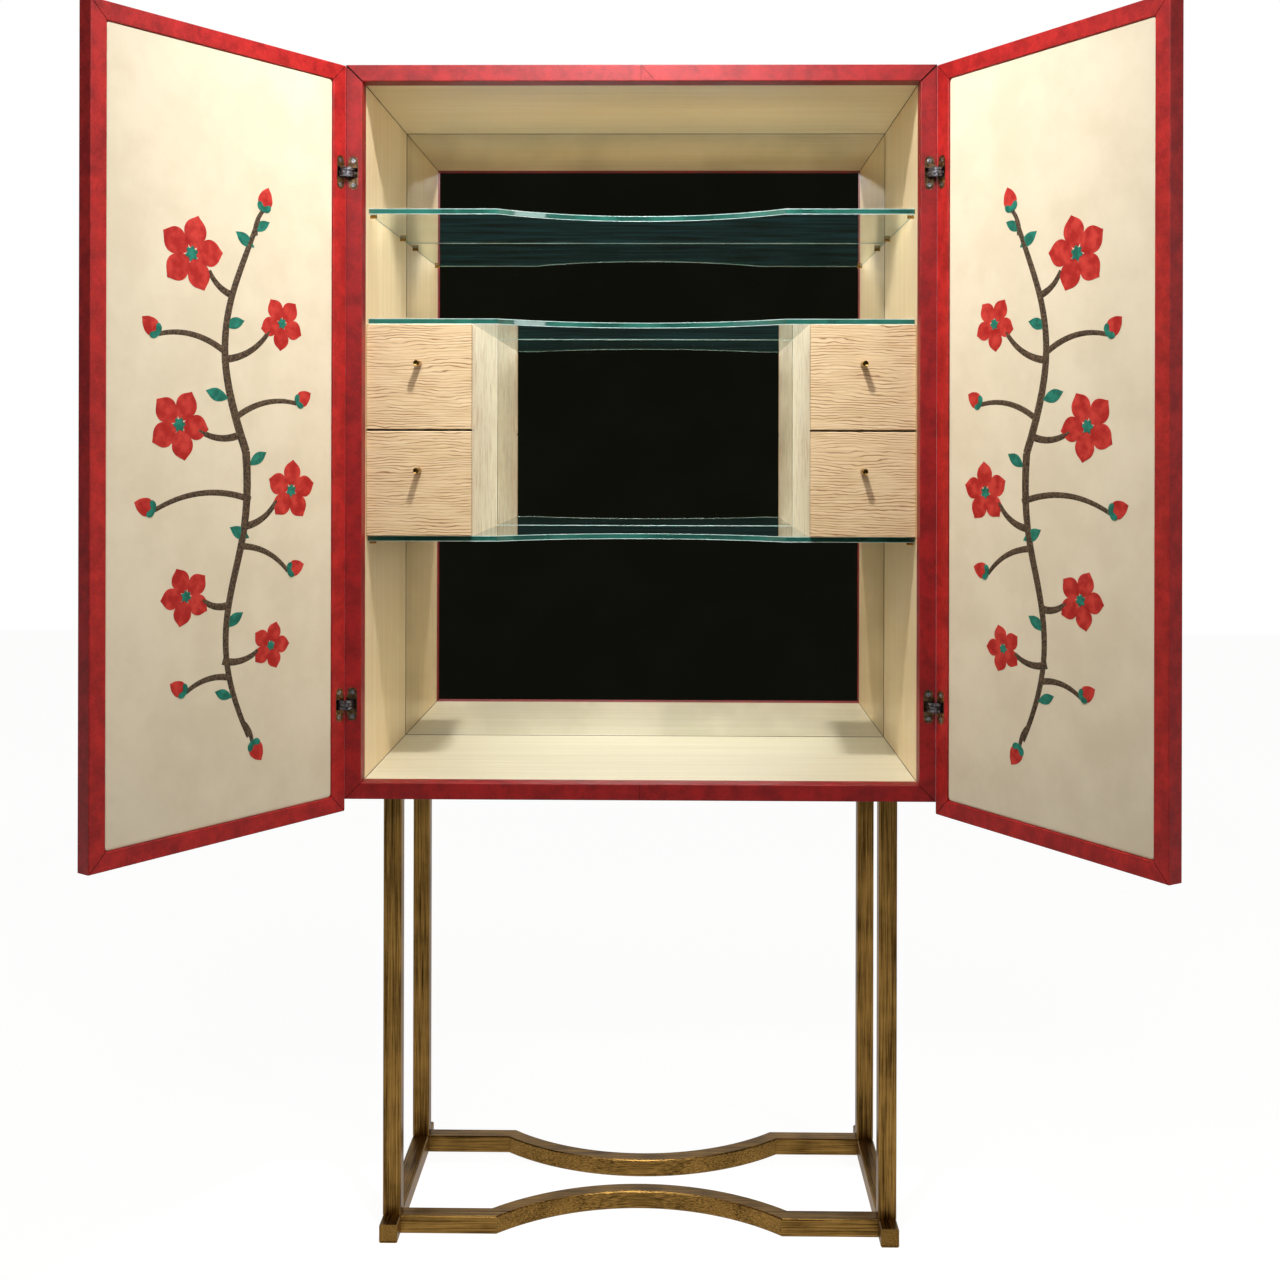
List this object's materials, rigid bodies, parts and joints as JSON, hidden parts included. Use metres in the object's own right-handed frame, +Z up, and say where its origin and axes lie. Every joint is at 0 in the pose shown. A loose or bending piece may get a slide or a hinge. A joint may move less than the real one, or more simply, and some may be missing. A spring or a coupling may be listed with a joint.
{
  "type": "cabinet on stand",
  "caption": "Tall two-door bar cabinet lined in ivory, with a mirror back, bowed glass shelves and small drawers, raised on a slim square-tube stand with bowed stretchers.",
  "frame": {"origin": "on the floor, in the cabinet's centre plane, midway between its back and the tips of its open doors", "axes": "+Z up, -Y the side that the doors open to, +X to the right of someone facing the open cabinet"},
  "size_m": [1.4249, 0.8037, 1.805],
  "materials": {
    "red_leather": "nubuck leather wrapped round boards",
    "ivory_upholstery": "smooth ivory leather on a thin pad, with appliqué",
    "ivory_veneer": "ivory-stained veneer with a faint open grain",
    "pale_ash": "pale figured veneer, oiled",
    "larch": "brushed larch with open grain",
    "clear_glass": "clear float glass with ground edges",
    "mirror": "silvered mirror",
    "bronzed_steel": "bronzed, brushed and rubbed through at the edges",
    "plate_black": "black powder coat",
    "plate_screws": "zinc-plated",
    "brass": "aged brass",
    "hinge_bronze": "dark bronzed casting",
    "hinge_screws": "bronzed"
  },
  "bodies": {
    "root": {"stand_leg_front_left": "bronzed_steel", "stand_leg_rear_left": "bronzed_steel", "stand_rail_left": "bronzed_steel", "carcass_side_left": "red_leather", "front_edge_left": "red_leather", "lining_left": "ivory_veneer", "drawer_case_left_sides": "pale_ash", "drawer_case_left_decks": "pale_ash", "stand_leg_front_right": "bronzed_steel", "stand_leg_rear_right": "bronzed_steel", "stand_rail_right": "bronzed_steel", "carcass_side_right": "red_leather", "front_edge_right": "red_leather", "lining_right": "ivory_veneer", "drawer_case_right_sides": "pale_ash", "drawer_case_right_decks": "pale_ash", "stand_stretcher_front": "bronzed_steel", "stand_stretcher_rear": "bronzed_steel", "stand_rail_caps": "bronzed_steel", "stand_mounting_plates": "plate_black", "stand_plate_screws": "plate_screws", "carcass_bottom": "red_leather", "carcass_top": "red_leather", "carcass_back": "red_leather", "front_edge_top": "red_leather", "front_edge_bottom": "red_leather", "mirror_back": "mirror", "lining_top": "ivory_veneer", "lining_bottom": "ivory_veneer", "shelf_lower": "clear_glass", "shelf_middle": "clear_glass", "shelf_upper": "clear_glass", "shelf_pegs": "brass", "drawer_case_backs": "pale_ash", "hinge_housings_carcass": "hinge_bronze", "hinge_screws_carcass": "hinge_screws"},
    "door_left": {"door_left_board": "red_leather", "door_left_border": "red_leather", "door_left_pad": "ivory_upholstery", "hinge_housings_door_left": "hinge_bronze", "hinge_screws_door_left": "hinge_screws"},
    "drawer_left_lower": {"drawer_left_lower_front": "larch", "drawer_left_lower_box": "pale_ash", "drawer_left_lower_knob": "brass"},
    "drawer_left_upper": {"drawer_left_upper_front": "larch", "drawer_left_upper_box": "pale_ash", "drawer_left_upper_knob": "brass"},
    "hinge_link_left": {"hinge_links_left": "hinge_bronze"},
    "door_right": {"door_right_board": "red_leather", "door_right_border": "red_leather", "door_right_pad": "ivory_upholstery", "hinge_housings_door_right": "hinge_bronze", "hinge_screws_door_right": "hinge_screws"},
    "drawer_right_lower": {"drawer_right_lower_front": "larch", "drawer_right_lower_box": "pale_ash", "drawer_right_lower_knob": "brass"},
    "drawer_right_upper": {"drawer_right_upper_front": "larch", "drawer_right_upper_box": "pale_ash", "drawer_right_upper_knob": "brass"},
    "hinge_link_right": {"hinge_links_right": "hinge_bronze"}
  },
  "joints": [
    {"name": "door_left_hinge", "type": "hinge", "parent": "root", "child": "door_left", "pos_m": [-0.449, -0.01886, 1.235], "axis": [0, 0, -1], "range_deg": [-124.5, 5.5]},
    {"name": "door_right_hinge", "type": "hinge", "parent": "root", "child": "door_right", "pos_m": [0.449, -0.01886, 1.235], "axis": [0, 0, 1], "range_deg": [-121, 9]},
    {"name": "hinge_link_left_turn", "type": "hinge", "parent": "root", "child": "hinge_link_left", "pos_m": [-0.449, -0.01886, 1.235], "axis": [0, 0, -1], "range_deg": [-62.25, 2.75]},
    {"name": "hinge_link_right_turn", "type": "hinge", "parent": "root", "child": "hinge_link_right", "pos_m": [0.449, -0.01886, 1.235], "axis": [0, 0, 1], "range_deg": [-60.5, 4.5]},
    {"name": "drawer_left_lower_slide", "type": "slide", "parent": "root", "child": "drawer_left_lower", "axis": [0, -1, 0], "range_m": [0, 0.25]},
    {"name": "drawer_left_upper_slide", "type": "slide", "parent": "root", "child": "drawer_left_upper", "axis": [0, -1, 0], "range_m": [0, 0.25]},
    {"name": "drawer_right_lower_slide", "type": "slide", "parent": "root", "child": "drawer_right_lower", "axis": [0, -1, 0], "range_m": [0, 0.25]},
    {"name": "drawer_right_upper_slide", "type": "slide", "parent": "root", "child": "drawer_right_upper", "axis": [0, -1, 0], "range_m": [0, 0.25]}
  ],
  "couplings": [
    {"joint": "hinge_link_left_turn", "follows": "door_left_hinge", "ratio": 0.5},
    {"joint": "hinge_link_right_turn", "follows": "door_right_hinge", "ratio": 0.5}
  ]
}
